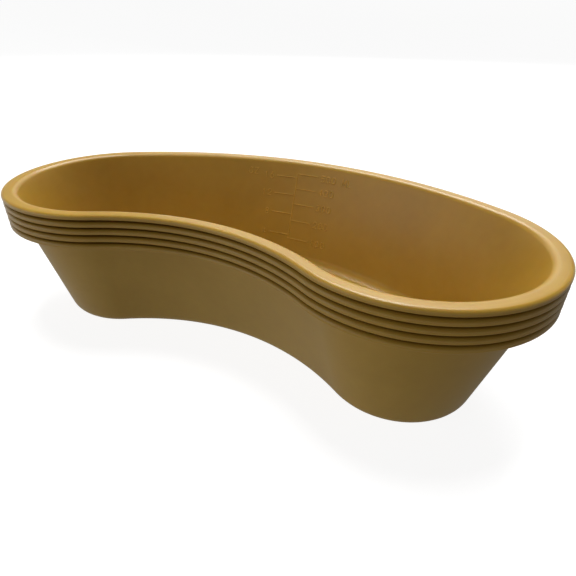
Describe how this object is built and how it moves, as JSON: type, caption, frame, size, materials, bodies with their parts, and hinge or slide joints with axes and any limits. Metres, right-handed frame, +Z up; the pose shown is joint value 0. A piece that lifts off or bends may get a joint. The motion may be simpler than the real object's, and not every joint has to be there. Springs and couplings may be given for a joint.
{
  "type": "kidney dish stack",
  "caption": "Nested stack of moulded plastic kidney dishes with flat turned-down rims and a raised volume scale inside; each dish lifts off upwards.",
  "frame": {"origin": "centre of the stack's footprint, on the underside of the lowest dish's base", "axes": "+X along the length of the dishes, +Y towards the convex back, +Z up out of the dishes"},
  "size_m": [0.22, 0.1114, 0.0572],
  "materials": {
    "gold_plastic": "smooth moulded, satin gloss, gold coloured"
  },
  "bodies": {
    "dish_1": {"dish_1": "gold_plastic"},
    "dish_2": {"dish_2": "gold_plastic"},
    "dish_3": {"dish_3": "gold_plastic"},
    "dish_4": {"dish_4": "gold_plastic"},
    "dish_5": {"dish_5": "gold_plastic"}
  },
  "joints": [
    {"name": "lift_2", "type": "slide", "parent": "dish_1", "child": "dish_2", "axis": [0, 0, 1], "range_m": [0, 0.06]},
    {"name": "lift_3", "type": "slide", "parent": "dish_2", "child": "dish_3", "axis": [0, 0, 1], "range_m": [0, 0.06]},
    {"name": "lift_4", "type": "slide", "parent": "dish_3", "child": "dish_4", "axis": [0, 0, 1], "range_m": [0, 0.06]},
    {"name": "lift_5", "type": "slide", "parent": "dish_4", "child": "dish_5", "axis": [0, 0, 1], "range_m": [0, 0.06]}
  ]
}
